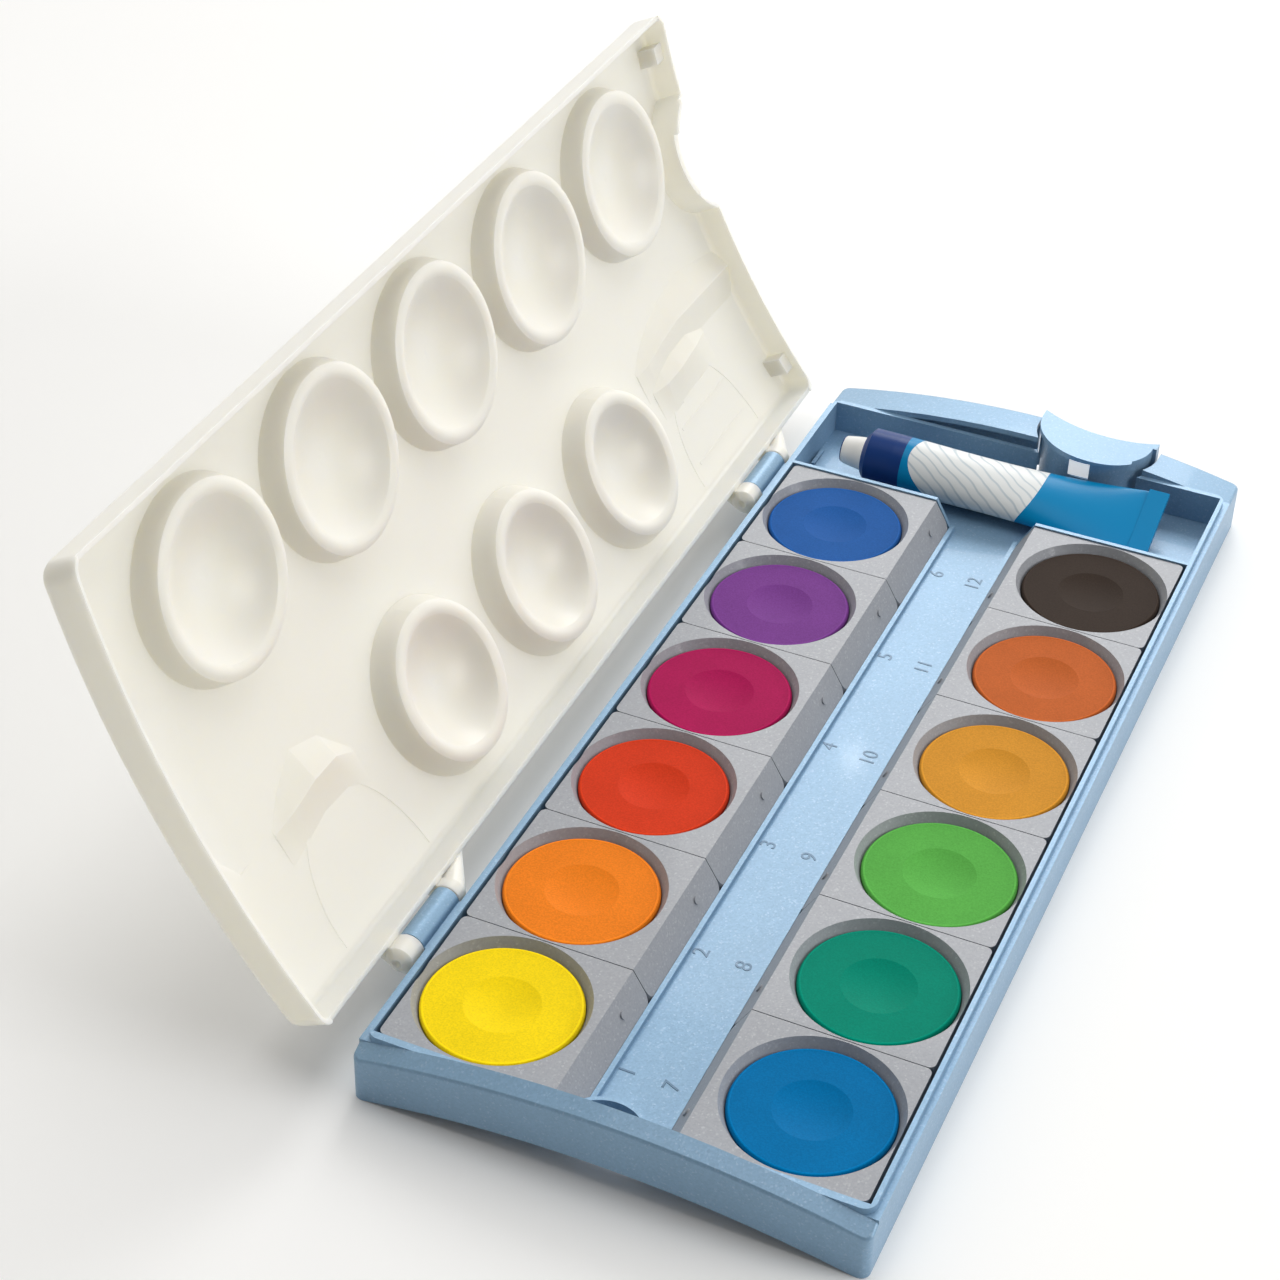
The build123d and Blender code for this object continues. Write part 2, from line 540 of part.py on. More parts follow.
def mixing_well(x, y, base_r, crest_r):
    """One crater of the palette, closed pose, square to the vaulted plate: (ring, bowl)."""
    inner = crest_r - CREST_WIDTH / 2
    outer = crest_r + CREST_WIDTH / 2
    base = base_r + (base_r - outer) / WELL_HEIGHT * LID_PLATE
    crest = -WELL_HEIGHT
    rim = crest + CREST_ROUND
    with BuildSketch(Plane.XZ) as ring_half:
        with BuildLine():
            Polyline((inner, rim), (0, rim), (0, LID_PLATE), (base, LID_PLATE), (outer, rim))
            ThreePointArc((outer, rim), (crest_r, crest), (inner, rim))
        make_face()
    with BuildSketch(Plane.XZ) as bowl_half:
        with BuildLine():
            Polyline((0, BOWL_DROP), (0, crest - PAST), (inner, rim))
            ThreePointArc((inner, rim), dish_middle(inner, rim, BOWL_DROP - rim), (0, BOWL_DROP))
        make_face()
    place = Pos(x, y, plate_under(x)) * Rot(0, math.degrees(math.asin(x / ARCH_R)), 0)
    ring = place * revolve(ring_half.sketch, axis=Axis.Z)
    bowl = place * revolve(bowl_half.sketch, axis=Axis.Z)
    return ring, bowl


def well_places():
    """Centre, base radius and crest radius of every mixing well."""
    places = []
    for i in range(WELL_COUNT):
        places.append((WELL_ROW_X, WELL_ROW_Y + (i - (WELL_COUNT - 1) / 2) * WELL_PITCH,
                       WELL_BASE_R, WELL_CREST_R))
    for i in range(SMALL_COUNT):
        places.append((SMALL_ROW_X, WELL_ROW_Y + (i - (SMALL_COUNT - 1) / 2) * WELL_PITCH,
                       SMALL_BASE_R, SMALL_CREST_R))
    return places


def ear_web(y0, y1):
    """Web from an ear to the lid's wall, and the heel that stops the lid when it stands open."""
    wall_x = -HALF_WIDTH + LID_WALL / 2
    clear_x = -HALF_WIDTH - EAR_CLEAR
    curl = EAR_R * EAR_CURL
    web = profile_y([(AXIS_X - curl, AXIS_Z + curl), (clear_x, AXIS_Z), (clear_x, LID_EDGE),
                     (wall_x, LID_EDGE), (wall_x, AXIS_Z + EAR_WEB_TOP), (clear_x, AXIS_Z + EAR_WEB_TOP)],
                    y0, y1)
    heel = box(AXIS_X, clear_x, y0, y1, AXIS_Z - EAR_R, AXIS_Z)
    return web + heel.rotate(Axis((AXIS_X, 0, AXIS_Z), (0, -1, 0)), -OPEN_ANGLE)


def near_ear(y0, y1):
    """Thick ear whose outer end is domed, with a dimple in its middle."""
    rim = y0 + EAR_DOME
    with BuildSketch(Plane(origin=(AXIS_X, 0, AXIS_Z), x_dir=(1, 0, 0), z_dir=(0, 0, 1))) as half:
        with BuildLine():
            Polyline((0, y0), (0, y1), (EAR_R, y1), (EAR_R, rim))
            ThreePointArc((EAR_R, rim), dish_middle(EAR_R, rim, -EAR_DOME), (0, y0))
        make_face()
    knob = revolve(half.sketch, axis=Axis((AXIS_X, 0, AXIS_Z), (0, 1, 0)))
    dimple_y = y0 - EAR_DIMPLE_R + EAR_DIMPLE_DEPTH
    dimple = Pos(AXIS_X, dimple_y, AXIS_Z) * Sphere(EAR_DIMPLE_R)
    return knob + ear_web(rim, y1) - dimple


def far_ear(y0, y1):
    """Thin ear that runs out along the lid's side in a fin."""
    start = Plane(origin=(AXIS_X, y1, AXIS_Z), x_dir=(1, 0, 0), z_dir=(0, 1, 0)) * Circle(EAR_R)
    tip_place = (-HALF_WIDTH, y1 + FIN_LENGTH, AXIS_Z + FIN_RISE)
    tip = Plane(origin=tip_place, x_dir=(1, 0, 0), z_dir=(0, 1, 0)) * Circle(FIN_TIP_R)
    fin = loft([start, tip], ruled=True)
    side = -HALF_WIDTH - EAR_CLEAR / 2
    fin -= box(side, side + EAR_R, y0, y1 + FIN_LENGTH + PAST, 0, LID_EDGE)
    return rod(AXIS_X, AXIS_Z, EAR_R, y0, y1) + ear_web(y0, y1) + fin


def lid_ears():
    """Four ears, one at each end of each barrel, with the pins between them."""
    ears = None
    for middle in (BARREL_NEAR_Y, BARREL_FAR_Y):
        y0 = middle - BARREL_LENGTH / 2 - EAR_GAP
        y1 = middle + BARREL_LENGTH / 2 + EAR_GAP
        near = near_ear(y0 - EAR_NEAR_THICK, y0) + rod(AXIS_X, AXIS_Z, HINGE_PIN_R, y0, y0 + PIN_LENGTH)
        far = far_ear(y1, y1 + EAR_FAR_THICK) + rod(AXIS_X, AXIS_Z, HINGE_PIN_R, y1 - PIN_LENGTH, y1)
        pair = near + far
        ears = pair if ears is None else ears + pair
    return ears


# ---- relief on the lid's inner side ----
RELIEF_HALF = HALF_WIDTH - LID_WALL / 2
RELIEF_NEAR_Y = LID_NEAR_Y + LID_WALL / 2
RELIEF_FAR_Y = LID_FAR_Y - LID_WALL / 2


def plate_half(height):
    """Inner half of the lid's plate, from its middle down to height below its inner surface."""
    middle = LID_EDGE + LID_SIDE_HEIGHT - LID_PLATE / 2
    low = LID_EDGE + LID_SIDE_HEIGHT - LID_PLATE - height
    block = vault(RELIEF_NEAR_Y, RELIEF_FAR_Y, RELIEF_HALF, 0, middle, middle)
    block = block & plan_prism(-RELIEF_HALF, RELIEF_HALF, RELIEF_NEAR_Y, RELIEF_FAR_Y,
                               LID_CORNER_R - LID_WALL / 2, 0, OVER)
    below = vault(RELIEF_NEAR_Y - PAST, RELIEF_FAR_Y + PAST, RELIEF_HALF + PAST, -PAST, low, low)
    return block - below


def raised_lines():
    """Outlines of the two half-oval panels, and three straight lines in the far one, in plan."""
    outline = Ellipse(PANEL_REACH, PANEL_HALF) - Ellipse(PANEL_REACH - LINE_WIDTH, PANEL_HALF - LINE_WIDTH)
    outline = outline & Pos(PANEL_REACH, 0) * Rectangle(2 * PANEL_REACH, 3 * PANEL_HALF)
    lines = Pos(PANEL_X, PANEL_FAR_Y) * outline + Pos(PANEL_X, PANEL_NEAR_Y) * outline
    for x, half in PANEL_LINES:
        lines += Pos(x, PANEL_FAR_Y) * Rectangle(LINE_WIDTH, 2 * half)
    return extrude(lines, amount=OVER)


def fold(stations, from_wall, inwards):
    """Leaf-shaped fold: a ramp that rises to a crease, with a long back slope on the hinge side."""
    sections = []
    for along, crease_x, ramp, share in stations:
        y = from_wall + inwards * along
        back_x = crease_x - FOLD_BACK
        soft_x = crease_x + ramp
        grip = LID_PLATE / 3
        points = ((soft_x, y, plate_under(soft_x) + grip), (soft_x, y, plate_under(soft_x)),
                  (crease_x, y, plate_under(crease_x) - FOLD_HEIGHT * share),
                  (back_x, y, plate_under(back_x)), (back_x, y, plate_under(back_x) + grip))
        sections.append(make_face(Polyline(*points, close=True)))
    return loft(sections, ruled=True)


def sunk_leaf():
    """Cutter for the long leaf beside the near wall, deepest along its near edge."""
    sections = []
    for x, crisp, soft, share in LEAF_STATIONS:
        y0 = RELIEF_NEAR_Y + crisp
        y1 = RELIEF_NEAR_Y + soft
        z = plate_under(x)
        points = ((x, y0, z - PAST), (x, y0, z + LEAF_DEPTH * share), (x, y1, z), (x, y1, z - PAST))
        sections.append(make_face(Polyline(*points, close=True)))
    return loft(sections, ruled=True)


def corner_pads():
    """Stubs on the inner side of the far wall, near its two corners."""
    wide, long = PAD_SIZE
    pad = box(PAD_X - wide / 2, PAD_X + wide / 2, LID_FAR_Y - LID_WALL - long, RELIEF_FAR_Y, 0, OVER)
    return pad + mirror(pad, about=Plane.YZ)


def catch():
    """Rib on the notch's edge that snaps under the latch's lip."""
    high = lip_under() - CATCH_PLAY
    low = high - CATCH_HEIGHT
    bite_r = LATCH_R - CATCH_BITE
    ring = disc(LATCH_X, LATCH_Y, LATCH_R + NOTCH_GAP + LID_WALL / 2, low, high)
    ring -= disc(LATCH_X, LATCH_Y, bite_r, low, high)
    half = CATCH_WIDTH / 2
    return ring & box(LATCH_X - half, LATCH_X + half, LATCH_Y - 2 * LATCH_R, LATCH_Y, low, high)


def lid():
    """The palette lid, drawn closed and then swung open about the hinge."""
    skin = lid_skin()
    skin -= lid_cuts()
    middle = plate_half(WELL_HEIGHT + LID_PLATE)
    for place in well_places():
        ring, bowl = mixing_well(*place)
        skin = skin + (ring & middle) - bowl
    skin += raised_lines() & plate_half(LINE_HEIGHT)
    skin += corner_pads() & plate_half(PAD_HEIGHT)
    skin += fold(FOLD_FAR, RELIEF_FAR_Y, -1)
    skin += fold(FOLD_MIDDLE, RELIEF_FAR_Y, -1)
    skin += fold(FOLD_NEAR, RELIEF_NEAR_Y, 1)
    skin -= sunk_leaf()
    skin = skin + lid_ears() + catch()
    return skin.rotate(Axis((AXIS_X, 0, AXIS_Z), (0, -1, 0)), OPEN_ANGLE)


# ---- tube ----
def tube_place():
    """Where the tube's axis starts, at its shoulder."""
    return Pos(SHOULDER_X, TUBE_Y, TUBE_Z)


def ellipse_face(x, y, z, wide, thick, tilt):
    """Upright ellipse across the tube; tilt lifts its far side."""
    plane = Plane(origin=(x, y, z), x_dir=(0, math.cos(math.radians(tilt)), math.sin(math.radians(tilt))),
                  z_dir=(1, 0, 0))
    return plane * Ellipse(wide, thick)


def tube_body():
    """Round at the shoulder, flat at the crimp, with the nozzle in one piece."""
    half = CRIMP_WIDTH / 2 - CRIMP_LAP
    flat_half = CRIMP_THICK / 2 - CRIMP_LAP
    sections = [Plane(origin=(TUBE_ROUND, 0, 0), x_dir=(0, 1, 0), z_dir=(1, 0, 0)) * Circle(TUBE_R)]
    for part in (0.3, 0.65, 1):
        flat = part ** 1.5
        along = TUBE_ROUND + part * (TUBE_BODY - TUBE_ROUND)
        sections.append(ellipse_face(along, CRIMP_SHIFT * part, -CRIMP_SINK * part,
                                     TUBE_R + (half - TUBE_R) * flat,
                                     TUBE_R + (flat_half - TUBE_R) * flat, CRIMP_TILT * part))
    body = loft(sections)
    body += Pos(TUBE_ROUND / 2, 0, 0) * Rot(0, 90, 0) * Cylinder(TUBE_R, TUBE_ROUND)
    crimp = Box(TUBE_CRIMP + CRIMP_LAP, CRIMP_WIDTH, CRIMP_THICK)
    crimp_x = TUBE_BODY + (TUBE_CRIMP - CRIMP_LAP) / 2
    body += Pos(crimp_x, CRIMP_SHIFT, -CRIMP_SINK) * Rot(CRIMP_TILT, 0, 0) * crimp
    body += Pos(-SHOULDER_LENGTH / 2, 0, 0) * Rot(0, -90, 0) * Cone(TUBE_R, CAP_R_OPEN, SHOULDER_LENGTH)
    nozzle_x = -SHOULDER_LENGTH - NOZZLE_LENGTH / 2
    body += Pos(nozzle_x, 0, 0) * Rot(0, 90, 0) * Cylinder(NOZZLE_R, NOZZLE_LENGTH)
    body -= Pos(nozzle_x, 0, 0) * Rot(0, 90, 0) * Cylinder(NOZZLE_BORE_R, NOZZLE_LENGTH)
    return tube_place() * body


def cap_section(along, radius):
    """Ribbed outline across the cap."""
    points = []
    for i in range(2 * CAP_RIBS):
        reach = radius - CAP_RIB_DEPTH * (i % 2)
        turn = math.pi * i / CAP_RIBS
        points.append((along, reach * math.cos(turn), reach * math.sin(turn)))
    return make_face(Polyline(*points, close=True))


def tube_cap():
    """Ribbed conical cap on the nozzle."""
    start = -SHOULDER_LENGTH - CAP_GAP
    end = start - CAP_LENGTH
    shell = loft([cap_section(start, CAP_R_OPEN), cap_section(end, CAP_R_END)], ruled=True)
    depth = CAP_LENGTH - CAP_TOP
    bore = Pos(start - depth / 2, 0, 0) * Rot(0, 90, 0) * Cylinder(NOZZLE_R + CAP_CLEARANCE, depth)
    return tube_place() * (shell - bore)


def write(name, solid):
    """One STEP file for one node, with the origin moved under the hinge side."""
    export_step(Pos(-ORIGIN_X, 0, 0) * solid, os.path.join("parts", name + ".step"))


def main():
    os.makedirs("parts", exist_ok=True)
    write("tray", tray())
    write("latch_tongue", latch())
    write("palette_lid", lid())
    for i in range(PAN_COUNT):
        y = ROW_Y + (i + 0.5) * PAN_PITCH
        right_pan = pan(y)
        right_tablet = tablet(y)
        turn = Axis((0, y, 0), (0, 0, 1))
        write("pan_" + PAINTS_RIGHT[i], right_pan)
        write("paint_" + PAINTS_RIGHT[i], right_tablet)
        write("pan_" + PAINTS_LEFT[i], right_pan.rotate(turn, 180))
        write("paint_" + PAINTS_LEFT[i], right_tablet.rotate(turn, 180))
    write("tube_body", tube_body())
    write("tube_cap", tube_cap())


main()
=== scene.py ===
import math
import bmesh
import bpy
from mathutils import Matrix, Vector


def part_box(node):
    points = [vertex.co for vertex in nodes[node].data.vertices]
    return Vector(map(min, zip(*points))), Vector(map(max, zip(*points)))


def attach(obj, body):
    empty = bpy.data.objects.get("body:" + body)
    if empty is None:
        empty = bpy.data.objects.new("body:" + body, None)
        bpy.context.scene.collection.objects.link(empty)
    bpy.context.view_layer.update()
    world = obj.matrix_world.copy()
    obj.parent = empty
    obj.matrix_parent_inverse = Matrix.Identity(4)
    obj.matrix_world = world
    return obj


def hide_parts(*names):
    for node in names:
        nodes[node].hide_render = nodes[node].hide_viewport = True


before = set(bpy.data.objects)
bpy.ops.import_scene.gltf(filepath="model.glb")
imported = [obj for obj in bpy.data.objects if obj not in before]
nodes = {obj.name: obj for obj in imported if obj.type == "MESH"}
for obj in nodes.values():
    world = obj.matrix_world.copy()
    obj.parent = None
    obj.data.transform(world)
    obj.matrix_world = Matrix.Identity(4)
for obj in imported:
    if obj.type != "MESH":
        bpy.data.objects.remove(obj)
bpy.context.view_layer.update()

MM = 0.001

# ---- camera ----
# A long lens that looks down on the box from over its near right corner.
CAMERA_PLACE = Vector((175.27, -411.47, 356.97)) * MM
CAMERA_FORWARD = Vector((-0.31248, 0.73309, -0.60410)).normalized()
CAMERA_RIGHT = Vector((0.91277, 0.40784, 0.02278)).normalized()
CAMERA_LENS = 76.08
CAMERA_SENSOR = 36.0
CAMERA_CLIP = 0.01
camera_up = CAMERA_RIGHT.cross(CAMERA_FORWARD)
camera = bpy.data.objects.new("camera", bpy.data.cameras.new("camera"))
camera.data.lens = CAMERA_LENS
camera.data.sensor_width = CAMERA_SENSOR
camera.data.clip_start = CAMERA_CLIP
axes = Matrix((CAMERA_RIGHT, camera_up, -CAMERA_FORWARD)).transposed()
camera.matrix_world = Matrix.Translation(CAMERA_PLACE) @ axes.to_4x4()
bpy.context.scene.collection.objects.link(camera)
bpy.context.scene.camera = camera

# ---- floor ----
# A large sheet of matt white paper, with a faint mottle in its sheen.
FLOOR_WHITE = "FCFCFB"
FLOOR_HALF = 3.0
FLOOR_ROUGHNESS = (0.86, 0.94)
MOTTLES_PER_METRE = 60.0


def linear(hex_code):
    """sRGB hex to a linear colour with alpha."""
    channels = [int(hex_code[i:i + 2], 16) / 255 for i in (0, 2, 4)]
    return [c / 12.92 if c <= 0.04045 else ((c + 0.055) / 1.055) ** 2.4 for c in channels] + [1.0]


def add(tree, kind, settings=None, links=None):
    """Adds a shader node: settings are properties or sockets, and links join other nodes' outputs to it."""
    made = tree.nodes.new("ShaderNode" + kind)
    for key, value in (settings or {}).items():
        if isinstance(key, str) and hasattr(made, key):
            setattr(made, key, value)
        else:
            made.inputs[key].default_value = value
    for key, output in (links or {}).items():
        tree.links.new(output, made.inputs[key])
    return made


def new_material(name):
    """A node material with nothing but its output: (material, tree, output node)."""
    material = bpy.data.materials.new(name)
    material.use_nodes = True
    tree = material.node_tree
    tree.nodes.clear()
    return material, tree, add(tree, "OutputMaterial")


paper, tree, out = new_material("matt_white_paper")
coords = add(tree, "TexCoord")
mottle = add(tree, "TexNoise", {"Scale": MOTTLES_PER_METRE, "Detail": 4.0},
             {"Vector": coords.outputs["Object"]})
sheen = add(tree, "MapRange", {"To Min": FLOOR_ROUGHNESS[0], "To Max": FLOOR_ROUGHNESS[1]},
            {"Value": mottle.outputs["Fac"]})
surface = add(tree, "BsdfPrincipled", {"Base Color": linear(FLOOR_WHITE)},
              {"Roughness": sheen.outputs["Result"]})
tree.links.new(surface.outputs["BSDF"], out.inputs["Surface"])
floor = bpy.data.objects.new("floor", bpy.data.meshes.new("floor"))
corners = [(-FLOOR_HALF, -FLOOR_HALF, 0), (FLOOR_HALF, -FLOOR_HALF, 0), (FLOOR_HALF, FLOOR_HALF, 0),
           (-FLOOR_HALF, FLOOR_HALF, 0)]
floor.data.from_pydata(corners, [], [(0, 1, 2, 3)])
floor.data.materials.append(paper)
bpy.context.scene.collection.objects.link(floor)

# ---- light ----
# A white room, bright behind the box and dimmer above and at the left. Soft square lamps stand behind,
# at the right and above, and one tiny lamp makes the small spark on the channel's floor.
bpy.context.scene.view_settings.view_transform = "Standard"
ROOM_WHITE = "FFFDFA"
ROOM_BASE = 0.02
ROOM_SIDES = (          # direction, strength of the room on that side
    ((0, 1, 0), 1.5),
    ((0, 0, 1), 0.20),
    ((-1, 0, 0), 0.40),
)
LAMP_AIM = Vector((0.05, 0.0, 0.02))
LAMPS = {               # place, side of the square, watts
    "behind": ((-0.10, 0.98, 0.75), 0.50, 3.8),
    "spark": ((-0.248, 0.958, 0.830), 0.010, 0.015),
    "right": ((1.05, 0.05, 0.50), 0.50, 4.7),
    "above": ((0.05, 0.00, 1.25), 0.70, 3.2),
}
world = bpy.data.worlds.new("white_room")
bpy.context.scene.world = world
world.use_nodes = True
tree = world.node_tree
tree.nodes.clear()
towards = add(tree, "TexCoord").outputs["Generated"]
bright = None
for side, strength in ROOM_SIDES:
    along = add(tree, "VectorMath", {"operation": "DOT_PRODUCT", 1: side}, {0: towards})
    facing = add(tree, "Math", {"operation": "MAXIMUM", 1: 0.0}, {0: along.outputs["Value"]})
    share = add(tree, "Math", {"operation": "MULTIPLY_ADD", 1: strength, 2: ROOM_BASE},
                {0: facing.outputs["Value"]})
    if bright is not None:
        tree.links.new(bright.outputs["Value"], share.inputs[2])
    bright = share
room = add(tree, "Background", {"Color": linear(ROOM_WHITE)}, {"Strength": bright.outputs["Value"]})
tree.links.new(room.outputs["Background"], add(tree, "OutputWorld").inputs["Surface"])
for name, (place, size, power) in LAMPS.items():
    lamp = bpy.data.lights.new(name, "AREA")
    lamp.shape = "SQUARE"
    lamp.size = size
    lamp.energy = power
    holder = bpy.data.objects.new(name, lamp)
    holder.location = place
    holder.rotation_euler = (LAMP_AIM - holder.location).to_track_quat("-Z", "Y").to_euler()
    bpy.context.scene.collection.objects.link(holder)

# ---- tray and latch tongue ----
# One injection moulding in light blue ABS with fine metal flake; slits cut the tongue free of it.
# The flake gives the blue a fine sparkle, and makes it turn a little brighter towards the light.
TRAY_BLUE = "84A6C2"
TRAY_FLAKE_LIGHT = "D6E6F4"
FLAKE_MM = 0.35          # real flake is finer, about 0.1 mm; drawn coarser so that it shows
MELT_CLOUD_MM = 22.0     # slow drift of shade from the way that the melt flowed
MELT_CLOUD_SPREAD = 0.03
SPARK_FROM = 0.90        # the brightest tenth of the flakes sparkles
SPARK_SHARE = 0.16
NOISE_RANGE = {"From Min": 0.3, "From Max": 0.7}     # where a noise pattern's values mostly lie


def flake_plastic(name, base, light, roughness, metal, spread, tilt):
    """Moulded plastic with metal flake; spread is how far its shade varies, tilt how far a flake leans."""
    material, tree, out = new_material(name)
    coords = add(tree, "TexCoord")
    flakes = add(tree, "TexVoronoi", {"Scale": 1 / (FLAKE_MM * MM)}, {"Vector": coords.outputs["Object"]})
    pick = add(tree, "SeparateColor", {}, {"Color": flakes.outputs["Color"]})
    cloud = add(tree, "TexNoise", {"Scale": 1 / (MELT_CLOUD_MM * MM), "Detail": 3.0},
                {"Vector": coords.outputs["Object"]})
    dull = add(tree, "MapRange",
               {"From Min": 0.0, "From Max": 1.0, "To Min": 1 - spread, "To Max": 1 + spread},
               {"Value": pick.outputs["Red"]})
    drift = add(tree, "MapRange",
                {**NOISE_RANGE, "To Min": 1 - MELT_CLOUD_SPREAD, "To Max": 1 + MELT_CLOUD_SPREAD},
                {"Value": cloud.outputs["Fac"]})
    shade = add(tree, "Math", {"operation": "MULTIPLY"},
                {0: dull.outputs["Result"], 1: drift.outputs["Result"]})
    tint = add(tree, "VectorMath", {"operation": "SCALE", "Vector": linear(base)[:3]},
               {"Scale": shade.outputs["Value"]})
    spark = add(tree, "MapRange",
                {"From Min": SPARK_FROM, "From Max": 1.0, "To Min": 0.0, "To Max": SPARK_SHARE},
                {"Value": pick.outputs["Green"]})
    colour = add(tree, "Mix", {"data_type": "RGBA", 7: linear(light)},
                 {"Factor": spark.outputs["Result"], 6: tint.outputs["Vector"]})
    centred = add(tree, "VectorMath", {"operation": "SUBTRACT", 1: (0.5, 0.5, 0.5)},
                  {0: flakes.outputs["Color"]})
    lean = add(tree, "VectorMath", {"operation": "SCALE", "Scale": tilt}, {0: centred.outputs["Vector"]})
    face = add(tree, "NewGeometry")
    turned = add(tree, "VectorMath", {"operation": "ADD"},
                 {0: face.outputs["Normal"], 1: lean.outputs["Vector"]})
    normal = add(tree, "VectorMath", {"operation": "NORMALIZE"}, {0: turned.outputs["Vector"]})
    surface = add(tree, "BsdfPrincipled", {"Roughness": roughness, "Metallic": metal, "IOR": 1.5,
                                           "Coat Weight": 0.20, "Coat Roughness": 0.06},
                  {"Base Color": colour.outputs[2], "Normal": normal.outputs["Vector"]})
    tree.links.new(surface.outputs["BSDF"], out.inputs["Surface"])
    return material


def dress(node, material):
    """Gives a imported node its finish."""
    for held in nodes[node].material_slots:
        held.material = material


tray_plastic = flake_plastic("moulded_abs_light_blue_flake", TRAY_BLUE, TRAY_FLAKE_LIGHT, roughness=0.45,
                             metal=0.30, spread=0.05, tilt=0.05)
dress("tray", tray_plastic)
dress("latch_tongue", tray_plastic)

# ---- palette lid ----
# One thin moulding in cream polypropylene, slightly translucent, with eight craters for mixing.
# Light passes into the wall and comes out softened, so the shade is warm and never dark.
LID_CREAM = "E8E6DE"
LID_ROUGHNESS = (0.30, 0.42)
LID_CLOUD_MM = 40.0
LID_GLOW_MM = 3.0
lid_plastic, tree, out = new_material("moulded_polypropylene_cream")
coords = add(tree, "TexCoord")
cloud = add(tree, "TexNoise", {"Scale": 1 / (LID_CLOUD_MM * MM), "Detail": 2.0},
            {"Vector": coords.outputs["Object"]})
gloss = add(tree, "MapRange", {"To Min": LID_ROUGHNESS[0], "To Max": LID_ROUGHNESS[1]},
            {"Value": cloud.outputs["Fac"]})
surface = add(tree, "BsdfPrincipled", {"Base Color": linear(LID_CREAM), "IOR": 1.49, "Subsurface Weight": 1.0,
                                       "Subsurface Radius": (1.0, 0.95, 0.8),
                                       "Subsurface Scale": LID_GLOW_MM * MM},
              {"Roughness": gloss.outputs["Result"]})
tree.links.new(surface.outputs["BSDF"], out.inputs["Surface"])
dress("palette_lid", lid_plastic)

# ---- paint pans ----
# Twelve loose mouldings in silver-grey ABS with metal flake; each holds one tablet. They are duller than
# the tray, so their tops stay grey under the lamp behind. Each row runs from the near end to the latch.
# Silver-grey with a slight blue painted in all over: a painted reflection of the blue tray, which the pans'
# slopes mirror.
PAN_GREY = "999CA2"
PAN_FLAKE_LIGHT = "E6E6E8"
PAN_ROWS = (("yellow", "orange", "vermilion", "magenta", "violet", "ultramarine"),
            ("cyan_blue", "blue_green", "yellow_green", "ochre", "burnt_sienna", "black"))
pan_plastic = flake_plastic("moulded_abs_silver_flake", PAN_GREY, PAN_FLAKE_LIGHT, roughness=0.55, metal=0.15,
                            spread=0.05, tilt=0.04)
for row in PAN_ROWS:
    for paint in row:
        dress("pan_" + paint, pan_plastic)

# ---- paint tablets ----
# Pressed cakes of gouache with a fine grain. A thin ring just inside the edge is painted lighter: a painted
# highlight where the rounded edge catches the light.
# Pigment in gum has a weak sheen of its own hue, so a tablet keeps its colour in the light from behind.
GRAIN_MM = 0.35
GRAIN_SPREAD = 0.10
GRAIN_DEPTH_MM = 0.05
CAKE_CLOUD_MM = 9.0
CAKE_CLOUD_SPREAD = 0.04
RIM_INSET_MM = 0.55
RIM_WIDTH_MM = 0.35
RIM_HIGHLIGHT = 0.30
PAINTS = {
    "yellow": "F7D818", "orange": "ED8123", "vermilion": "D03C1F", "magenta": "A81A54", "violet": "763E8B",
    "ultramarine": "235AA1", "cyan_blue": "026EA8", "blue_green": "03856E", "yellow_green": "5AAA4B",
    "ochre": "CF8F30", "burnt_sienna": "BD612F", "black": "382E28",
}
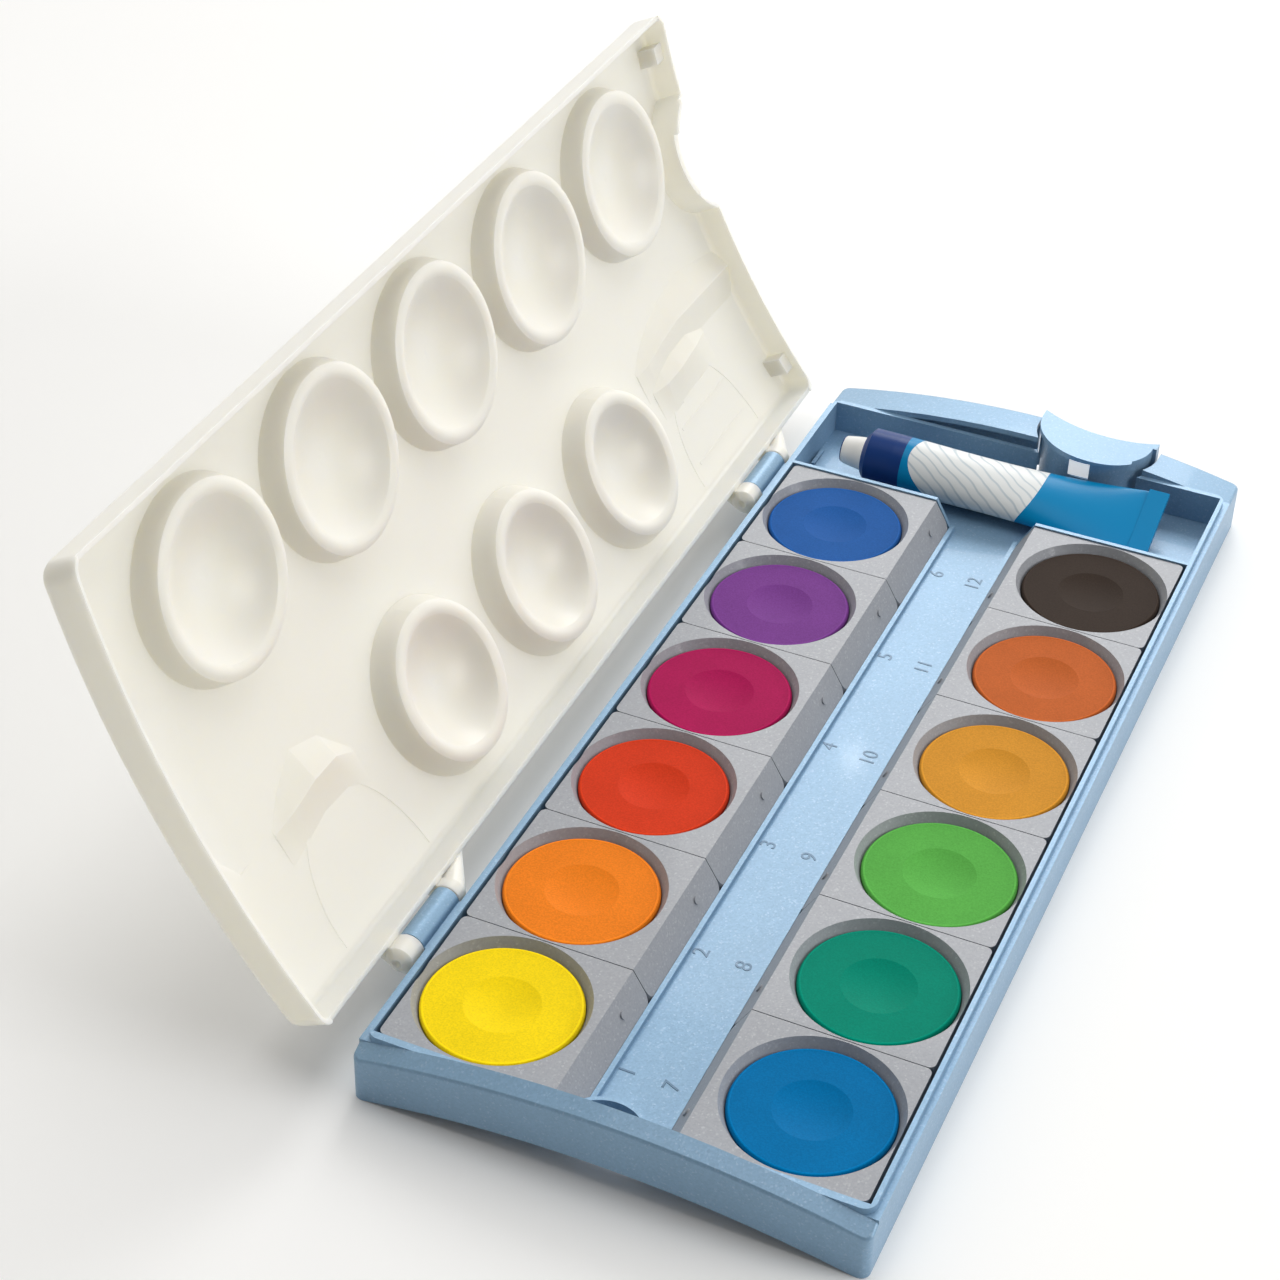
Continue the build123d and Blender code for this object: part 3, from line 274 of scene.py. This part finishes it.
for paint, hex_code in PAINTS.items():
    low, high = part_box("paint_" + paint)
    middle = (low + high) / 2
    rim = (high.x - low.x) / 2 - RIM_INSET_MM * MM
    material, tree, out = new_material("pressed_gouache_" + paint)
    coords = add(tree, "TexCoord")
    flat = add(tree, "VectorMath", {"operation": "MULTIPLY", 1: (1, 1, 0)}, {0: coords.outputs["Object"]})
    out_from = add(tree, "VectorMath", {"operation": "DISTANCE", 1: (middle.x, middle.y, 0)},
                   {0: flat.outputs["Vector"]})
    # Painted highlight: a thin ring just inside the tablet's edge, made lighter where the rounded edge would
    # catch the light.
    highlight_ring = add(tree, "Math", {"operation": "COMPARE", 1: rim, 2: RIM_WIDTH_MM / 2 * MM},
               {0: out_from.outputs["Value"]})
    grain = add(tree, "TexNoise", {"Scale": 1 / (GRAIN_MM * MM), "Detail": 2.0},
                {"Vector": coords.outputs["Object"]})
    cloud = add(tree, "TexNoise", {"Scale": 1 / (CAKE_CLOUD_MM * MM), "Detail": 3.0},
                {"Vector": coords.outputs["Object"]})
    speck = add(tree, "MapRange", {**NOISE_RANGE, "To Min": 1 - GRAIN_SPREAD, "To Max": 1 + GRAIN_SPREAD},
                {"Value": grain.outputs["Fac"]})
    drift = add(tree, "MapRange",
                {**NOISE_RANGE, "To Min": 1 - CAKE_CLOUD_SPREAD, "To Max": 1 + CAKE_CLOUD_SPREAD},
                {"Value": cloud.outputs["Fac"]})
    shade = add(tree, "Math", {"operation": "MULTIPLY"},
                {0: speck.outputs["Result"], 1: drift.outputs["Result"]})
    with_painted_highlight = add(tree, "Math", {"operation": "MULTIPLY_ADD", 1: RIM_HIGHLIGHT},
                  {0: highlight_ring.outputs["Value"], 2: shade.outputs["Value"]})
    tint = add(tree, "VectorMath", {"operation": "SCALE", "Vector": linear(hex_code)[:3]},
               {"Scale": with_painted_highlight.outputs["Value"]})
    bump = add(tree, "Bump", {"Strength": 0.25, "Distance": GRAIN_DEPTH_MM * MM},
               {"Height": grain.outputs["Fac"]})
    surface = add(tree, "BsdfPrincipled", {"Roughness": 0.55, "IOR": 1.45, "Specular IOR Level": 0.10,
                                           "Specular Tint": linear(hex_code)},
                  {"Base Color": tint.outputs["Vector"], "Normal": bump.outputs["Normal"]})
    tree.links.new(surface.outputs["BSDF"], out.inputs["Surface"])
    dress("paint_" + paint, material)

# ---- tube of white ----
# Soft aluminium tube, printed and lacquered: a dark blue band at the shoulder, then cyan with a white field
# that has brush strokes on it. Each edge of the field slants across the tube and bows.
TUBE_CYAN = "0085BC"
TUBE_NAVY = "173A78"
TUBE_WHITE = "E9ECEC"
STROKE_GREY = "AEBEC8"
TUBE_AXIS = Vector((0.0, 95.1, 12.2)) * MM
TUBE_R = 6.6 * MM
LABEL_UP = (0.0, 0.564, 0.826)         # across the label, towards its upper edge
NAVY_END = 25.2 * MM
FIELD_EDGES = (                        # X at the tube's middle, slant, bow and the side that the field is on
    (27.0, -2.3, 3.5, "GREATER_THAN"),
    (56.4, 1.9, -1.2, "LESS_THAN"),
)
STROKE_MM = 1.959                      # from one stroke to the next
STROKE_FROM = 0.80
STROKE_SHARE = 0.7
WAVE_LENGTH = math.tau / (10 * math.sqrt(3))     # of the diagonal wave pattern at a scale of 1
tube_metal, tree, out = new_material("printed_lacquered_aluminium")
coords = add(tree, "TexCoord")
apart = add(tree, "SeparateXYZ", {}, {"Vector": coords.outputs["Object"]})
local = add(tree, "VectorMath", {"operation": "SUBTRACT", 1: TUBE_AXIS}, {0: coords.outputs["Object"]})
height = add(tree, "VectorMath", {"operation": "DOT_PRODUCT", 1: LABEL_UP}, {0: local.outputs["Vector"]})
share = add(tree, "Math", {"operation": "DIVIDE", 1: TUBE_R}, {0: height.outputs["Value"]})
masks = []
for base, slant, bow, way in FIELD_EDGES:
    inner = add(tree, "Math", {"operation": "MULTIPLY_ADD", 1: bow * MM, 2: slant * MM},
                {0: share.outputs["Value"]})
    edge = add(tree, "Math", {"operation": "MULTIPLY_ADD", 2: base * MM},
               {0: inner.outputs["Value"], 1: share.outputs["Value"]})
    masks.append(add(tree, "Math", {"operation": way}, {0: apart.outputs["X"], 1: edge.outputs["Value"]}))
field = add(tree, "Math", {"operation": "MULTIPLY"},
            {0: masks[0].outputs["Value"], 1: masks[1].outputs["Value"]})
navy = add(tree, "Math", {"operation": "LESS_THAN", 1: NAVY_END}, {0: apart.outputs["X"]})
stroke = add(tree, "TexWave", {"bands_direction": "DIAGONAL", "Scale": WAVE_LENGTH / (STROKE_MM * MM),
                               "Distortion": 5.0, "Detail": 1.5, "Detail Scale": 0.6},
             {"Vector": coords.outputs["Object"]})
thin = add(tree, "MapRange",
           {"From Min": STROKE_FROM, "From Max": 1.0, "To Min": 0.0, "To Max": STROKE_SHARE},
           {"Value": stroke.outputs["Fac"]})
brushed = add(tree, "Mix", {"data_type": "RGBA", 6: linear(TUBE_WHITE), 7: linear(STROKE_GREY)},
              {"Factor": thin.outputs["Result"]})
banded = add(tree, "Mix", {"data_type": "RGBA", 6: linear(TUBE_CYAN), 7: linear(TUBE_NAVY)},
             {"Factor": navy.outputs["Value"]})
print_colour = add(tree, "Mix", {"data_type": "RGBA"},
                   {"Factor": field.outputs["Value"], 6: banded.outputs[2], 7: brushed.outputs[2]})
surface = add(tree, "BsdfPrincipled", {"Roughness": 0.30, "IOR": 1.5, "Specular IOR Level": 0.15},
              {"Base Color": print_colour.outputs[2]})
tree.links.new(surface.outputs["BSDF"], out.inputs["Surface"])
dress("tube_body", tube_metal)

# ---- tube's cap ----
# Screw cap moulded in white polypropylene: a plain taper with a rounded end and a bead at its mouth.
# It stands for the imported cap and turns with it.
CAP_WHITE = "F2F2F0"
CAP_PROFILE = (         # X and radius, from the end's middle to the inside of the mouth
    (9.6, 0.0), (9.6, 2.5), (9.75, 2.9), (10.1, 3.2), (13.0, 3.7), (15.6, 4.05), (15.75, 4.3), (16.4, 4.35),
    (16.5, 4.25), (16.5, 3.1),
)
CAP_STEPS = 64
WELD = 0.001 * MM
CAP_ROUGHNESS = (0.36, 0.46)
CAP_CLOUD_MM = 3.0
cap_mesh = bmesh.new()
loop = [cap_mesh.verts.new(TUBE_AXIS + Vector((x, r, 0)) * MM) for x, r in CAP_PROFILE]
edges = [cap_mesh.edges.new(pair) for pair in zip(loop, loop[1:])]
bmesh.ops.spin(cap_mesh, geom=loop + edges, cent=TUBE_AXIS, axis=(1, 0, 0), angle=math.tau, steps=CAP_STEPS,
               use_merge=True)
bmesh.ops.remove_doubles(cap_mesh, verts=cap_mesh.verts, dist=WELD)
bmesh.ops.recalc_face_normals(cap_mesh, faces=cap_mesh.faces)
cap = bpy.data.objects.new("tube_cap_smooth", bpy.data.meshes.new("tube_cap_smooth"))
cap_mesh.to_mesh(cap.data)
cap_mesh.free()
cap.data.shade_smooth()
bpy.context.scene.collection.objects.link(cap)
cap_plastic, tree, out = new_material("moulded_polypropylene_white")
coords = add(tree, "TexCoord")
cloud = add(tree, "TexNoise", {"Scale": 1 / (CAP_CLOUD_MM * MM), "Detail": 2.0},
            {"Vector": coords.outputs["Object"]})
gloss = add(tree, "MapRange", {"To Min": CAP_ROUGHNESS[0], "To Max": CAP_ROUGHNESS[1]},
            {"Value": cloud.outputs["Fac"]})
surface = add(tree, "BsdfPrincipled", {"Base Color": linear(CAP_WHITE), "IOR": 1.49},
              {"Roughness": gloss.outputs["Result"]})
tree.links.new(surface.outputs["BSDF"], out.inputs["Surface"])
cap.data.materials.append(cap_plastic)
dress("tube_cap", cap_plastic)
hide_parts("tube_cap")
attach(cap, "cap")

# ---- numbers in the channel ----
# One plain number beside each paint, moulded with the tray in low relief on the channel's floor and read
# along the box. Their darker blue stands for the shade that such small relief has.
NUMBER_BLUE = "5F7D97"
NUMBER_HEIGHT = 4.6 * MM
NUMBER_RELIEF = 0.08 * MM
CHANNEL_FLOOR = 5.3 * MM
NUMBER_COLUMNS = (44.6 * MM, 53.2 * MM)
number_plastic = flake_plastic("moulded_abs_blue_in_relief", NUMBER_BLUE, TRAY_FLAKE_LIGHT, roughness=0.45,
                               metal=0.30, spread=0.05, tilt=0.05)
for side, (column, row) in enumerate(zip(NUMBER_COLUMNS, PAN_ROWS)):
    for place, paint in enumerate(row):
        curve = bpy.data.curves.new("number", "FONT")
        curve.body = str(side * len(row) + place + 1)
        curve.size = NUMBER_HEIGHT
        curve.extrude = NUMBER_RELIEF
        curve.align_x = "CENTER"
        holder = bpy.data.objects.new("number", curve)
        bpy.context.scene.collection.objects.link(holder)
        bpy.context.view_layer.update()
        low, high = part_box("pan_" + paint)
        spot = Matrix.Translation((column, (low.y + high.y) / 2, CHANNEL_FLOOR))
        mesh = bpy.data.meshes.new_from_object(holder.evaluated_get(bpy.context.evaluated_depsgraph_get()))
        mesh.transform(spot @ Matrix.Rotation(math.radians(90), 4, "Z"))
        bpy.data.objects.remove(holder)
        digit = bpy.data.objects.new("number_" + paint, mesh)
        digit.data.materials.clear()
        digit.data.materials.append(number_plastic)
        bpy.context.scene.collection.objects.link(digit)
        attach(digit, "tray")

# ---- lip of the thumb notch ----
# Half-round wall, moulded with the tray, that stands round the notch at the channel's near end.
# An upright section is spun half round, and the part behind the end wall is cut off.
LIP_MIDDLE = Vector((46.55, -120.9, 0)) * MM
LIP_R = 8.6 * MM
LIP_WALL = 0.8 * MM
LIP_TOP = 9.9 * MM
LIP_STEPS = 48
END_WALL_Y = -118.5 * MM
lip_mesh = bmesh.new()
first = LIP_MIDDLE + Vector((LIP_R, 0, CHANNEL_FLOOR))
lip_height = LIP_TOP - CHANNEL_FLOOR
section = [lip_mesh.verts.new(first + Vector(way)) for way in
           ((0, 0, 0), (0, 0, lip_height), (-LIP_WALL, 0, lip_height), (-LIP_WALL, 0, 0))]
face = lip_mesh.faces.new(section)
bmesh.ops.spin(lip_mesh, geom=[face] + section + list(face.edges), cent=LIP_MIDDLE, axis=(0, 0, 1),
               angle=math.pi, steps=LIP_STEPS)
bmesh.ops.bisect_plane(lip_mesh, geom=lip_mesh.verts[:] + lip_mesh.edges[:] + lip_mesh.faces[:],
                       plane_co=(0, END_WALL_Y, 0), plane_no=(0, 1, 0), clear_inner=True)
bmesh.ops.holes_fill(lip_mesh, edges=lip_mesh.edges)
bmesh.ops.recalc_face_normals(lip_mesh, faces=lip_mesh.faces)
lip = bpy.data.objects.new("thumb_lip", bpy.data.meshes.new("thumb_lip"))
lip_mesh.to_mesh(lip.data)
lip_mesh.free()
lip.data.materials.append(tray_plastic)
bpy.context.scene.collection.objects.link(lip)
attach(lip, "tray")

# ---- painted light in the latch's window ----
# Thin white plate set back in the window of the latch tongue. It glows a little: painted light that stands in
# for the bright space seen through the window. It glows a little, as a stand-in for whatever makes the window
# bright.
PATCH_WHITE = "FBFBFA"
PATCH_GLOW = 0.45
PATCH_LOW = Vector((59.9, 108.4, 12.0)) * MM
PATCH_HIGH = Vector((64.8, 109.0, 16.3)) * MM
patch_mesh = bmesh.new()
bmesh.ops.create_cube(patch_mesh, size=1.0, matrix=Matrix.Translation((PATCH_LOW + PATCH_HIGH) / 2)
                      @ Matrix.Diagonal((*(PATCH_HIGH - PATCH_LOW), 1.0)))
patch = bpy.data.objects.new("window_patch", bpy.data.meshes.new("window_patch"))
patch_mesh.to_mesh(patch.data)
patch_mesh.free()
window_light_material, tree, out = new_material("painted_light_window_plate")
# The glow is painted light: the plate lights itself like the bright space behind the window, though it is no
# lamp.
surface = add(tree, "BsdfPrincipled", {"Base Color": linear(PATCH_WHITE), "Roughness": 0.5, "IOR": 1.59,
                                       "Emission Color": linear("FFFFFF"), "Emission Strength": PATCH_GLOW})
tree.links.new(surface.outputs["BSDF"], out.inputs["Surface"])
patch.data.materials.append(window_light_material)
bpy.context.scene.collection.objects.link(patch)
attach(patch, "latch")
